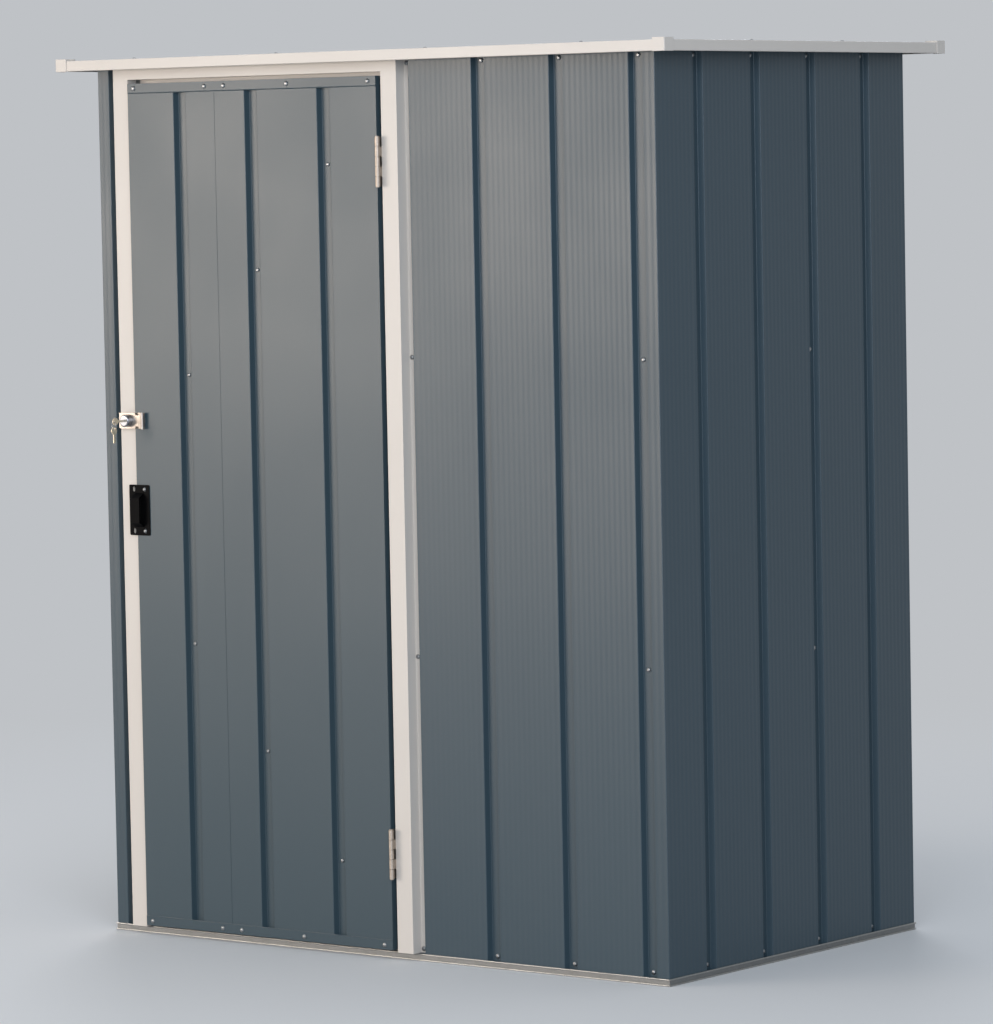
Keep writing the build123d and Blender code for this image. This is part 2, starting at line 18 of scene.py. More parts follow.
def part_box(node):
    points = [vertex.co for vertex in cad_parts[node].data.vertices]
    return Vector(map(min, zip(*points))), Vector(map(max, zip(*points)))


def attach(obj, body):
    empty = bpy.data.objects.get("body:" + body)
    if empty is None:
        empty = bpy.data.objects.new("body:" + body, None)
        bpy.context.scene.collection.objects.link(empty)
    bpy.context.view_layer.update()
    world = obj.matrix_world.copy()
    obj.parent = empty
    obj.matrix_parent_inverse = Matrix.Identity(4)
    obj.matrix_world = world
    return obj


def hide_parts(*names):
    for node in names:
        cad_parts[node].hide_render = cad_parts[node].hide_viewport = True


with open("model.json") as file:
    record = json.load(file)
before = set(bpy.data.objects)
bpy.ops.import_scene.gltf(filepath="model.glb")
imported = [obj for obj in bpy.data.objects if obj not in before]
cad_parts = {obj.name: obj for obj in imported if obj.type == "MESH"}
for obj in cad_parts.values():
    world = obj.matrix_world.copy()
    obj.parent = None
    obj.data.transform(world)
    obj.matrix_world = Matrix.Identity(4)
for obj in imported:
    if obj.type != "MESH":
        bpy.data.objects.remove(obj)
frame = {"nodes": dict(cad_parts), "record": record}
scene = bpy.context.scene


def corners(bounds):
    """Both corners of a box as plain lists of numbers."""
    return [[float(value) for value in corner] for corner in bounds]


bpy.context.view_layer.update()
MM = 0.001

# %% [markdown]
# ## The camera
#
# The photograph was taken from about ten metres away with a long lens, so upright edges stay
# almost parallel. The place and the three directions below come from fitting the edges of the
# shed. A camera in Blender looks along its own -Z, with X to the right and Y up, so its matrix
# has those three directions as columns. The fit gives the focal length in pixels of the picture,
# and the width of the sensor turns that into millimetres.

# %% Place the camera
CAMERA_PLACE = Vector((6.5658, -7.9745, 1.6157))
CAMERA_RIGHT = Vector((0.787686, 0.615788, -0.018866))
CAMERA_UP = Vector((-0.027186, 0.065336, 0.997493))
CAMERA_BACK = Vector((0.615477, -0.785198, 0.068205))
LENS_PIXELS = 5072.0
LONG_SIDE_PIXELS = 1024.0
SENSOR_MM = 36.0
FARTHEST_SEEN = 100.0

camera_data = bpy.data.cameras.new("camera")
camera_data.sensor_width = SENSOR_MM
camera_data.sensor_fit = "AUTO"
camera_data.lens = LENS_PIXELS * SENSOR_MM / LONG_SIDE_PIXELS
camera_data.clip_end = FARTHEST_SEEN
camera = bpy.data.objects.new("camera", camera_data)
turn = Matrix((CAMERA_RIGHT, CAMERA_UP, CAMERA_BACK)).transposed()
camera.matrix_world = Matrix.Translation(CAMERA_PLACE) @ turn.to_4x4()
scene.collection.objects.link(camera)
scene.camera = camera
print("lens", round(camera_data.lens, 1), "mm")

# %% [markdown]
# ## Colours and shader nodes
#
# Paint colours are easy to read as hex values, but those are sRGB and shaders work in linear
# light. One function turns them by the sRGB curve. A second one adds any shader node with its
# settings and links, so that each finish below reads as a short list of steps.

# %% Helpers for finishes


def linear(hex_colour):
    """Linear RGBA of an sRGB hex colour."""
    parts = [int(hex_colour[i : i + 2], 16) / 255 for i in (1, 3, 5)]
    light = [p / 12.92 if p <= 0.04045 else ((p + 0.055) / 1.055) ** 2.4 for p in parts]
    return (*light, 1.0)


def add_node(tree, kind, settings=None, inputs=None):
    """Add a node. An input is a value, or a pair of node and output name to link from."""
    node = tree.nodes.new(kind)
    for name, value in (settings or {}).items():
        setattr(node, name, value)
    for name, value in (inputs or {}).items():
        if isinstance(value, tuple) and len(value) == 2 and hasattr(value[0], "outputs"):
            tree.links.new(value[0].outputs[value[1]], node.inputs[name])
        else:
            node.inputs[name].default_value = value
    return node


def new_material(name):
    """An empty material and its node tree."""
    material = bpy.data.materials.new(name)
    material.use_nodes = True
    tree = material.node_tree
    tree.nodes.clear()
    return material, tree


def finish(tree, shader):
    """Link the last shader of a finish to the output."""
    add_node(tree, "ShaderNodeOutputMaterial", inputs={"Surface": (shader, shader.outputs[0].name)})


def per_metre(size_mm):
    """How often a size in millimetres fits in a metre, as a texture's scale counts it."""
    return 1000.0 / size_mm


print("mid grey as linear light", round(linear("#808080")[0], 3))

# %% [markdown]
# ## Painted sheet
#
# The walls are galvanised steel strip, coated with polyester paint on a roller line before it is
# pressed. The coat is thin and even with a satin gloss. Its orange peel is about 3 mm from dimple
# to dimple, and the sheet itself is never quite flat, which the eye reads as slow waves about
# 300 mm long in the reflections. Two noises on Object coordinates make both. The trims are folded
# from such strip in cream. The handle has a black powder coat with dimples of about 1 mm.

# %% Painted finishes
DRIFT_SCALE, DRIFT_DETAIL = 2.2, 3.0
DRIFT_LOW, DRIFT_HIGH = 0.3, 0.7
GLOSSIER, DULLER = 0.03, 0.04
PEEL_STRENGTH, PEEL_HEIGHT = 0.04, 0.4 * MM
WAVE_LENGTH_MM, WAVE_HEIGHT = 300.0, 4.0 * MM
PAINT_IOR = 1.5


def painted_steel(name, colour, shade, roughness, peel_mm, wave_strength, specular):
    """Coated steel: slow colour drift, fine orange peel and a long wave in the sheet."""
    material, tree = new_material(name)
    spot = add_node(tree, "ShaderNodeTexCoord")
    drift = add_node(
        tree,
        "ShaderNodeTexNoise",
        inputs={"Vector": (spot, "Object"), "Scale": DRIFT_SCALE, "Detail": DRIFT_DETAIL},
    )
    tint = add_node(
        tree,
        "ShaderNodeMix",
        {"data_type": "RGBA"},
        {"Factor": (drift, "Fac"), "A": linear(colour), "B": linear(shade)},
    )
    gloss = add_node(
        tree,
        "ShaderNodeMapRange",
        inputs={
            "Value": (drift, "Fac"),
            "From Min": DRIFT_LOW,
            "From Max": DRIFT_HIGH,
            "To Min": roughness - GLOSSIER,
            "To Max": roughness + DULLER,
        },
    )
    peel = add_node(
        tree,
        "ShaderNodeTexNoise",
        inputs={"Vector": (spot, "Object"), "Scale": per_metre(peel_mm), "Detail": 1.0},
    )
    fine = add_node(
        tree,
        "ShaderNodeBump",
        inputs={"Height": (peel, "Fac"), "Strength": PEEL_STRENGTH, "Distance": PEEL_HEIGHT},
    )
    wave = add_node(
        tree,
        "ShaderNodeTexNoise",
        inputs={"Vector": (spot, "Object"), "Scale": per_metre(WAVE_LENGTH_MM), "Detail": 0.0},
    )
    bumps = add_node(
        tree,
        "ShaderNodeBump",
        inputs={
            "Height": (wave, "Fac"),
            "Strength": wave_strength,
            "Distance": WAVE_HEIGHT,
            "Normal": (fine, "Normal"),
        },
    )
    shader = add_node(
        tree,
        "ShaderNodeBsdfPrincipled",
        inputs={
            "Base Color": (tint, "Result"),
            "Roughness": (gloss, "Result"),
            "Normal": (bumps, "Normal"),
            "IOR": PAINT_IOR,
            "Specular IOR Level": specular,
        },
    )
    finish(tree, shader)
    return material


# Blue grey satin: a blurred pale veil where it mirrors low light, its own colour elsewhere
slate_paint = painted_steel("slate_polyester_coated_steel", "#394a53", "#364750", 0.34, 3.0, 0.12, 0.45)
# The same coat on the wide plain pans of the door, where the long waves show more
door_paint = painted_steel("slate_polyester_door_steel", "#394a52", "#36474f", 0.34, 3.0, 0.2, 0.45)
# Warm off-white and duller, so a trim reads as one even tone
cream_paint = painted_steel("cream_polyester_coated_steel", "#d9d2c9", "#d4ccc2", 0.40, 3.0, 0.08, 0.35)
# Powder coat, nearly black and with hardly any shine
black_paint = painted_steel("black_powder_coated_steel", "#030304", "#050506", 0.50, 1.2, 0.05, 0.05)
print("painted finishes", len(bpy.data.materials))

# %% [markdown]
# ## Bare metals
#
# The rails are hot dip galvanised strip: zinc crystals, called spangle, about 8 mm wide, each with
# its own grey and its own gloss. A Voronoi texture gives one colour to a cell, as a crystal has.
# Its red picks the grey and its green the gloss, within a small spread. The screws, knob and lock
# plates are plated, the hinges are rolled mild steel with a warm cast, and the keys are stamped
# brass, all with a finer grain. Metals keep the default IOR and take their colour from the base
# colour. Zinc, steel and chrome are darker here than they really are, because the two bright lamps
# that give the front its sheen would burn them out. The brass is paler, as in the photograph: a
# painted brightness, since the keys hang where they mirror the shaded side.

# %% Metal finishes


def metal(name, colour, shade, roughness, grain_mm, spread):
    """Bare or plated metal with cells of slightly different colour and gloss."""
    material, tree = new_material(name)
    spot = add_node(tree, "ShaderNodeTexCoord")
    cells = add_node(
        tree,
        "ShaderNodeTexVoronoi",
        inputs={"Vector": (spot, "Object"), "Scale": per_metre(grain_mm), "Randomness": 1.0},
    )
    value = add_node(tree, "ShaderNodeSeparateColor", inputs={"Color": (cells, "Color")})
    tint = add_node(
        tree,
        "ShaderNodeMix",
        {"data_type": "RGBA"},
        {"Factor": (value, "Red"), "A": linear(colour), "B": linear(shade)},
    )
    gloss = add_node(
        tree,
        "ShaderNodeMapRange",
        inputs={"Value": (value, "Green"), "To Min": roughness - spread, "To Max": roughness + spread},
    )
    shader = add_node(
        tree,
        "ShaderNodeBsdfPrincipled",
        inputs={"Base Color": (tint, "Result"), "Roughness": (gloss, "Result"), "Metallic": 1.0},
    )
    finish(tree, shader)
    return material


# Dull grey with faint patches, one to a crystal
galvanised = metal("hot_dip_galvanised_steel", "#8b8c8b", "#868786", 0.42, 8.0, 0.02)
# The same zinc painted lighter for the rounded edges: a painted highlight on top of the thin light line
# that the round catches
edge_highlight_zinc = metal("burnished_galvanised_edge", "#a6a6a4", "#9e9e9c", 0.36, 8.0, 0.02)
# Soft warm grey with a little more grain than the plated metals
hinge_steel = metal("rolled_mild_steel", "#beb2a6", "#ada194", 0.50, 1.5, 0.04)
# A clear mirror, light and dark by what it faces
chrome = metal("chrome_plated_steel", "#8e9095", "#898c92", 0.14, 5.0, 0.01)
# Pale blurred zinc, so that each bend of a lock plate is a broad light or dark band
hasp_zinc = metal("bright_zinc_plated_steel", "#b9b0a7", "#b1a89f", 0.42, 1.5, 0.02)
# Small domes with a bright point of light on each
zinc_plate = metal("zinc_plated_screw_steel", "#989a9b", "#909294", 0.32, 2.0, 0.03)
# Brass painted paler than brass is, as painted brightness for keys that mirror the shaded side,
# and blurred enough that a thin key stays bright from any side
brass = metal("stamped_brass", "#fbefd9", "#f3e4c8", 0.58, 3.0, 0.03)
print("all finishes", len(bpy.data.materials))

# %% [markdown]
# ## Which node wears what
#
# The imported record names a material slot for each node. That table is followed here, so a node
# can't be missed and the record and the picture agree. Two slots have two finishes: the door's
# sheet is a little wavier than the walls', and the plates of the lock are a softer metal than the
# knob.

# %% Dress the nodes
SLOT_FINISH = {
    "slate_paint": slate_paint,
    "cream_paint": cream_paint,
    "galvanised_steel": galvanised,
    "hinge_steel": hinge_steel,
    "chrome_plate": chrome,
    "black_paint": black_paint,
    "key_brass": brass,
}
node_slot = {part["node"]: part["material_slot"] for part in frame["record"]["subparts"]}
LOCK_PLATES = ("hasp_door_plate", "hasp_strap", "hasp_pin", "lock_keeper")


def dress(piece, material):
    """Give a mesh object one material on every face."""
    piece.data.materials.clear()
    piece.data.materials.append(material)


for node_name, node_object in frame["nodes"].items():
    node_finish = SLOT_FINISH[node_slot[node_name]]
    if node_name.startswith("door_") and node_finish is slate_paint:
        node_finish = door_paint
    if node_name in LOCK_PLATES:
        node_finish = hasp_zinc
    dress(node_object, node_finish)
print("dressed", len(frame["nodes"]), "nodes")

# %% [markdown]
# ## The line of a pressed sheet
#
# A wall sheet is one strip, rolled so that broad flat pans alternate with deep grooves. Seen from
# above it is a bent line, the same all the way up. The line is built here from the pitch and the
# section of the groove. A place on it is called a mark: the distance round the shed from the front
# left corner, first along the front to the right. Sizes are in millimetres here and in metres in
# the mesh.

# %% Sizes of the pressed sheet
HALF_WIDTH = 730.0
FRONT, BACK = -6.45, 865.05
DEPTH = BACK - FRONT
GROOVE_PITCH = 195.1
GROOVE_WIDTH, GROOVE_FLOOR, GROOVE_DEPTH = 33.5, 25.1, 12.5
HALF_TOP, HALF_FLOOR = GROOVE_WIDTH / 2, GROOVE_FLOOR / 2
SHEET = 0.4
LAP_GAP = 2.0
WALL_LOW, WALL_HIGH = 0.9, 1838.5
FRONT_GROOVES, SIDE_GROOVES = 8, 4
first_front = (2 * HALF_WIDTH - (FRONT_GROOVES - 1) * GROOVE_PITCH) / 2
first_side = (DEPTH - (SIDE_GROOVES - 1) * GROOVE_PITCH) / 2
lengths = [2 * HALF_WIDTH, DEPTH, 2 * HALF_WIDTH, DEPTH]
starts = [sum(lengths[:side]) for side in range(4)]
perimeter = sum(lengths)
groove_marks = []
for side, start in enumerate(starts):
    grooves, first_groove = (SIDE_GROOVES, first_side) if side % 2 else (FRONT_GROOVES, first_front)
    groove_marks += [start + first_groove + k * GROOVE_PITCH for k in range(grooves)]
print("grooves round the shed", len(groove_marks))

# %% Draw the line of a wall sheet


def groove(mark, top, floor):
    """The four corners of a groove, in the order of the line."""
    flank_in = [(mark - HALF_TOP, top), (mark - HALF_FLOOR, floor)]
    flank_out = [(mark + HALF_FLOOR, floor), (mark + HALF_TOP, top)]
    return flank_in + flank_out


def lap_start(mark, top, floor):
    """The part of a groove in which a sheet begins, on the end of the one before it."""
    return [(mark - HALF_FLOOR + LAP_GAP, floor), (mark + HALF_FLOOR, floor), (mark + HALF_TOP, top)]


def lap_end(mark, top, floor):
    """The part of a groove in which a sheet ends."""
    return [(mark - HALF_TOP, top), (mark - HALF_FLOOR, floor), (mark + HALF_FLOOR - LAP_GAP, floor)]


def side_of(mark):
    """Number of the side that a mark lies on: front, right, back and left."""
    return max(k for k in range(4) if starts[k] <= mark)


def on_wall(mark, depth):
    """Plan point at a mark and a depth behind the outer plane of the walls."""
    mark = mark % perimeter
    side = side_of(mark)
    along = mark - starts[side]
    if side == 0:
        return -HALF_WIDTH + along, FRONT + depth
    if side == 1:
        return HALF_WIDTH - depth, FRONT + along
    if side == 2:
        return HALF_WIDTH - along, BACK - depth
    return -HALF_WIDTH + depth, BACK - along


def wall_line(first, last, start_depth):
    """Outer line of the wall sheet between two grooves, as plan points."""
    marks = lap_start(groove_marks[first], 0.0, start_depth)
    for number in range(first + 1, last + 1):
        before = groove_marks[(number - 1) % len(groove_marks)]
        mark = groove_marks[number % len(groove_marks)]
        if mark < before:
            mark += perimeter
        marks += [(corner, 0.0) for corner in starts[1:] + [perimeter] if before < corner < mark]
        section = lap_end if number == last else groove
        marks += section(mark, 0.0, GROOVE_DEPTH)
    return [Vector(on_wall(mark, depth)) for mark, depth in marks]


print("front sheet corners", len(wall_line(4, 7, GROOVE_DEPTH)))

# %% [markdown]
# ## Round bends
#
# Bends in thin steel are never sharp, so each one becomes a short arc, which is what catches a
# line of light. A quadratic curve between two points beside the corner is close to an arc and
# needs no centre. The line comes out as a list of runs, and each run knows if it is straight.

# %% Round the bends of a line
BEND_RADIUS = 1.6
ARC_STEPS = 3
BEND_SHARE = 0.45


def rounded(points, radius):
    """Runs of the line with an arc at each bend: start, end and whether it is straight."""
    runs = []
    last = points[0]
    for before, corner, after in zip(points, points[1:], points[2:]):
        to_before = (before - corner).normalized()
        to_after = (after - corner).normalized()
        half = math.acos(max(-1.0, min(1.0, to_before.dot(to_after)))) / 2
        room = BEND_SHARE * min((before - corner).length, (after - corner).length)
        reach = min(radius / math.tan(half), room)
        begin, end = corner + to_before * reach, corner + to_after * reach
        runs.append((last, begin, True))
        arc = [begin]
        for step in range(1, ARC_STEPS + 1):
            t = step / ARC_STEPS
            arc.append(begin * (1 - t) ** 2 + corner * 2 * t * (1 - t) + end * t**2)
        runs += [(a, b, False) for a, b in zip(arc, arc[1:])]
        last = end
    runs.append((last, points[-1], True))
    return runs


print("front sheet runs", len(rounded(wall_line(4, 7, GROOVE_DEPTH), BEND_RADIUS)))

# %% [markdown]
# ## Flutes by Geometry Nodes
#
# The pans aren't plain: the rolls also press a shallow flute into them about every 13 mm, which
# stiffens the thin sheet and shows as fine upright lines. Modelling hundreds of them by hand would
# be slow, and a bump map would vanish from the mesh, so a node tree makes them. It takes the bent
# line as loose edges, cuts each pan into six steps a flute, moves each step inward by a cosine,
# joins the line again and pulls it up into a surface. A run without flutes keeps its two ends
# where they are, so that the line stays in one piece.

# %% Start and end of a geometry tree
STEPS_A_FLUTE = 6
FLUTE_PITCH = 13.4
FLUTE_DEPTH = 0.29
SAME_POINT = 0.01 * MM


def new_tree(name, sockets):
    """An empty geometry tree with named inputs, and its group input node."""
    tree = bpy.data.node_groups.new(name, "GeometryNodeTree")
    tree.is_modifier = True
    tree.interface.new_socket("Geometry", in_out="INPUT", socket_type="NodeSocketGeometry")
    for socket_name, kind in sockets:
        tree.interface.new_socket(socket_name, in_out="INPUT", socket_type=kind)
    tree.interface.new_socket("Geometry", in_out="OUTPUT", socket_type="NodeSocketGeometry")
    return tree, tree.nodes.new("NodeGroupInput")


def end_tree(tree, given, geometry):
    """Realize the result, give it its material and hand it out."""
    real = add_node(tree, "GeometryNodeRealizeInstances", inputs={"Geometry": geometry})
    painted = add_node(
        tree,
        "GeometryNodeSetMaterial",
        inputs={"Geometry": (real, "Geometry"), "Material": (given, "Finish")},
    )
    out = tree.nodes.new("NodeGroupOutput")
    tree.links.new(painted.outputs["Geometry"], out.inputs["Geometry"])


sheet_tree, sheet_given = new_tree(
    "pressed_sheet",
    [("Flute Depth", "NodeSocketFloat"), ("Run", "NodeSocketVector"), ("Finish", "NodeSocketMaterial")],
)
print("inputs of the sheet tree", len(sheet_given.outputs) - 1)

# %% Cut the line into steps and say how far each one moves
flutes = add_node(sheet_tree, "GeometryNodeInputNamedAttribute", {"data_type": "INT"}, {"Name": "flutes"})
fluted_points = add_node(
    sheet_tree,
    "ShaderNodeMath",
    {"operation": "MULTIPLY_ADD"},
    {0: (flutes, "Attribute"), 1: float(STEPS_A_FLUTE), 2: 1.0},
)
# A run without flutes still has its two ends
point_count = add_node(
    sheet_tree, "ShaderNodeMath", {"operation": "MAXIMUM"}, {0: (fluted_points, "Value"), 1: 2.0}
)
curve = add_node(sheet_tree, "GeometryNodeMeshToCurve", inputs={"Mesh": (sheet_given, "Geometry")})
cut = add_node(
    sheet_tree,
    "GeometryNodeResampleCurve",
    {"mode": "COUNT"},
    {"Curve": (curve, "Curve"), "Count": (point_count, "Value")},
)
step_number = add_node(sheet_tree, "GeometryNodeCurveOfPoint")
phase = add_node(
    sheet_tree,
    "ShaderNodeMath",
    {"operation": "MULTIPLY"},
    {0: (step_number, "Index in Curve"), 1: 2 * math.pi / STEPS_A_FLUTE},
)
cosine = add_node(sheet_tree, "ShaderNodeMath", {"operation": "COSINE"}, {0: (phase, "Value")})
# Nothing at the edges of a flute and one in its middle
dip = add_node(
    sheet_tree, "ShaderNodeMath", {"operation": "MULTIPLY_ADD"}, {0: (cosine, "Value"), 1: -0.5, 2: 0.5}
)
has_flutes = add_node(
    sheet_tree, "ShaderNodeMath", {"operation": "MINIMUM"}, {0: (flutes, "Attribute"), 1: 1.0}
)
own_depth = add_node(
    sheet_tree,
    "ShaderNodeMath",
    {"operation": "MULTIPLY"},
    {0: (has_flutes, "Value"), 1: (sheet_given, "Flute Depth")},
)
amount = add_node(
    sheet_tree, "ShaderNodeMath", {"operation": "MULTIPLY"}, {0: (dip, "Value"), 1: (own_depth, "Value")}
)
print("sheet tree nodes", len(sheet_tree.nodes))

# %% Push the steps inward and pull the line up
tangent = add_node(sheet_tree, "GeometryNodeInputTangent")
upward = add_node(sheet_tree, "ShaderNodeVectorMath", {"operation": "NORMALIZE"}, {0: (sheet_given, "Run")})
inward = add_node(
    sheet_tree,
    "ShaderNodeVectorMath",
    {"operation": "CROSS_PRODUCT"},
    {0: (upward, "Vector"), 1: (tangent, "Tangent")},
)
push = add_node(
    sheet_tree,
    "ShaderNodeVectorMath",
    {"operation": "SCALE"},
    {0: (inward, "Vector"), "Scale": (amount, "Value")},
)
pressed = add_node(
    sheet_tree,
    "GeometryNodeSetPosition",
    inputs={"Geometry": (cut, "Curve"), "Offset": (push, "Vector")},
)
line = add_node(sheet_tree, "GeometryNodeCurveToMesh", inputs={"Curve": (pressed, "Geometry")})
joined = add_node(
    sheet_tree,
    "GeometryNodeMergeByDistance",
    inputs={"Geometry": (line, "Mesh"), "Distance": SAME_POINT},
)
pulled = add_node(
    sheet_tree,
    "GeometryNodeExtrudeMesh",
    {"mode": "EDGES"},
    {"Mesh": (joined, "Geometry"), "Offset": (sheet_given, "Run"), "Offset Scale": 1.0},
)
end_tree(sheet_tree, sheet_given, (pulled, "Mesh"))
print("sheet tree nodes", len(sheet_tree.nodes))

# %% [markdown]
# ## From a tree to a sheet of steel
#
# A tree's result lives in a modifier, and the export and the frame want plain meshes, so each
# result is copied out and the modifier is dropped. The surface has no thickness yet. Its faces are
# first turned to the outside, and then a solidify modifier gives them the sheet's thickness inward.
# The faces stay flat: a blend of normals over a wide pan beside a narrow bend would look puffy.

# %% Turn a tree's result into a plain mesh


def plain_mesh(piece):
    """Replace a piece's live modifiers by the mesh that they make."""
    bpy.context.view_layer.update()
    graph = bpy.context.evaluated_depsgraph_get()
    made = bpy.data.meshes.new_from_object(piece.evaluated_get(graph))
    piece.modifiers.clear()
    old = piece.data
    piece.data = made
    made.name = piece.name
    made.shade_flat()
    bpy.data.meshes.remove(old)


def add_tree(piece, tree, values):
    """Put a geometry tree on a piece and set its inputs by their socket identifiers."""
    modifier = piece.modifiers.new(tree.name, "NODES")
    modifier.node_group = tree
    sockets = {s.name: s.identifier for s in tree.interface.items_tree if s.in_out == "INPUT"}
    for name, value in values.items():
        modifier[sockets[name]] = value


def new_piece(name, vertices, edges=(), faces=()):
    """A mesh object at the origin, linked to the scene."""
    mesh = bpy.data.meshes.new(name)
    mesh.from_pydata(vertices, list(edges), list(faces))
    piece = bpy.data.objects.new(name, mesh)
    scene.collection.objects.link(piece)
    return piece


print("mesh helpers ready")

# %% Fold a strip of sheet


def face_away(piece, inside):
    """Turn all faces to the outside. The function given tells which way is in, at any point."""
    bm = bmesh.new()
    bm.from_mesh(piece.data)
    bmesh.ops.remove_doubles(bm, verts=bm.verts, dist=SAME_POINT)
    bmesh.ops.recalc_face_normals(bm, faces=bm.faces)
    looks_in = 0.0
    for face in bm.faces:
        looks_in += face.calc_area() * face.normal.dot(inside(face.calc_center_median()))
    if looks_in > 0:
        bmesh.ops.reverse_faces(bm, faces=bm.faces)
    bm.to_mesh(piece.data)
    bm.free()


def flute_count(a, b, on_pan):
    """How many flutes a straight run holds, if it lies in an outer plane."""
    length = (b - a).length
    return round(length / FLUTE_PITCH) if length > FLUTE_PITCH and on_pan(a) and on_pan(b) else 0


def folded_sheet(name, runs, place, run, thickness, material, inside, on_pan=None):
    """One folded strip: a line of runs, pulled along a vector and given its thickness inward."""
    vertices, edges, counts = [], [], []
    for a, b, straight in runs:
        edges.append((len(vertices), len(vertices) + 1))
        vertices += [place(a), place(b)]
        counts += [flute_count(a, b, on_pan) if straight and on_pan else 0] * 2
    piece = new_piece(name, vertices, edges)
    attribute = piece.data.attributes.new("flutes", "INT", "POINT")
    attribute.data.foreach_set("value", counts)
    add_tree(piece, sheet_tree, {"Flute Depth": FLUTE_DEPTH * MM, "Run": run, "Finish": material})
    plain_mesh(piece)
    face_away(piece, inside)
    wall = piece.modifiers.new("wall", "SOLIDIFY")
    wall.thickness = thickness * MM
    wall.offset = -1.0
    wall.use_even_offset = True
    plain_mesh(piece)
    return piece


print("sheet helpers ready")

# %% [markdown]
# ## The wall sheets
#
# Seven sheets go round the shed, and four of them turn a corner. Each starts in the floor of a
# groove, on the end of the sheet before it, where one row of screws holds both. The front sheet
# starts beside the door with no sheet under it, so its edge lies a sheet's thickness deeper. Each
# sheet made here stands for its CAD node, which stays hidden for collision.

# %% Make the wall sheets
ON_PLANE = 0.05
CENTRE = Vector((0.0, (FRONT + BACK) / 2, 0.0))
WALL_SHEETS = {
    "front_wall": (4, 7),
    "corner_wall_front_right": (7, 10),
    "corner_wall_back_right": (10, 13),
    "back_wall_right": (13, 16),
    "back_wall_left": (16, 18),
    "corner_wall_back_left": (18, 21),
    "corner_wall_front_left": (21, 24),
}


def on_wall_plane(point):
    """A plan point on one of the four outer wall planes."""
    outside_x = abs(abs(point.x) - HALF_WIDTH) < ON_PLANE
    outside_y = abs(point.y - FRONT) < ON_PLANE or abs(point.y - BACK) < ON_PLANE
    return outside_x or outside_y


def plan_place(low):
    """Function that lifts a plan point in millimetres to a height, in metres."""
    return lambda point: (point.x * MM, point.y * MM, low * MM)


def to_middle(point):
    """Level direction from a point on a wall towards the middle of the shed."""
    return Vector((CENTRE.x * MM - point.x, CENTRE.y * MM - point.y, 0.0))


for sheet_name, (first, last) in WALL_SHEETS.items():
    start_depth = GROOVE_DEPTH if sheet_name == "front_wall" else GROOVE_DEPTH - SHEET
    sheet_piece = folded_sheet(
        f"{sheet_name}_pressed",
        rounded(wall_line(first, last, start_depth), BEND_RADIUS),
        plan_place(WALL_LOW),
        (0.0, 0.0, (WALL_HIGH - WALL_LOW) * MM),
        SHEET,
        slate_paint,
        to_middle,
        on_wall_plane,
    )
    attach(sheet_piece, "shed")
    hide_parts(sheet_name)
    print(sheet_name, len(sheet_piece.data.polygons), "faces")

# %% [markdown]
# ## The roof sheets
#
# The roof is the same strip laid flat, with its grooves from front to back. Only the direction of
# the pull changes, so the same tree makes it. The sheets reach out over the walls, to the inner
# face of the trim.

# %% Make the roof sheets
SIDE_OVERHANG, FRONT_OVERHANG = 65.0, 56.0
TRIM_STEEL = 0.6
ROOF_HALF = HALF_WIDTH + SIDE_OVERHANG - TRIM_STEEL
ROOF_FRONT = FRONT - FRONT_OVERHANG + TRIM_STEEL
ROOF_BACK = BACK + FRONT_OVERHANG - TRIM_STEEL
ROOF_LEVEL = WALL_HIGH + SHEET + GROOVE_DEPTH
ROOF_SHEETS = {"roof_sheet_left": (None, 2), "roof_sheet_middle": (2, 5), "roof_sheet_right": (5, None)}
roof_marks = [-HALF_WIDTH + first_front + k * GROOVE_PITCH for k in range(FRONT_GROOVES)]


def roof_line(first, last):
    """Upper line of one roof sheet as points of X and height. None stands for the roof's edge."""
    low = ROOF_LEVEL - GROOVE_DEPTH
    if first is None:
        points = [(-ROOF_HALF, ROOF_LEVEL)]
    else:
        points = lap_start(roof_marks[first], ROOF_LEVEL, low + SHEET)
    whole = roof_marks[0 if first is None else first + 1 : last]
    for mark in whole:
        points += groove(mark, ROOF_LEVEL, low)
    if last is None:
        points.append((ROOF_HALF, ROOF_LEVEL))
    else:
        points += lap_end(roof_marks[last], ROOF_LEVEL, low)
    return [Vector(point) for point in points]


def on_roof_plane(point):
    """A point of X and height in the roof's upper plane."""
    return abs(point.y - ROOF_LEVEL) < ON_PLANE


def roof_place(point):
    """The front end of the roof at a point of X and height, in metres."""
    return (point.x * MM, ROOF_FRONT * MM, point.y * MM)


def downward(point):
    """Into the shed from any point of the roof."""
    return Vector((0.0, 0.0, -1.0))


for sheet_name, (first, last) in ROOF_SHEETS.items():
    sheet_piece = folded_sheet(
        f"{sheet_name}_pressed",
        rounded(roof_line(first, last), BEND_RADIUS),
        roof_place,
        (0.0, (ROOF_BACK - ROOF_FRONT) * MM, 0.0),
        SHEET,
        slate_paint,
        downward,
        on_roof_plane,
    )
    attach(sheet_piece, "shed")
    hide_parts(sheet_name)
    print(sheet_name, len(sheet_piece.data.polygons), "faces")

# %% [markdown]
# ## The door skins
#
# The door's two skins have the same grooves but plain pans, so they get no test for pans and no
# flutes. They meet at an upright seam between the door's rails, where the edge of one lies on the
# other and throws a thin shadow. The seam is a flat strip, half a millimetre proud of the skins.

# %% Make the door skins
DOOR_LEFT, DOOR_RIGHT = -626.9, 46.75
DOOR_SKIN = -27.65
DOOR_LOW, DOOR_HIGH = 20.8, 1799.7
FIRST_DOOR_GROOVE = 144.0
SEAM_FROM_LEFT = 233.0
DOOR_GROOVES = [DOOR_LEFT + FIRST_DOOR_GROOVE + k * GROOVE_PITCH for k in range(3)]
SEAM = DOOR_LEFT + SEAM_FROM_LEFT
DOOR_SKINS = {"door_skin_left": (DOOR_LEFT, SEAM), "door_skin_right": (SEAM, DOOR_RIGHT)}


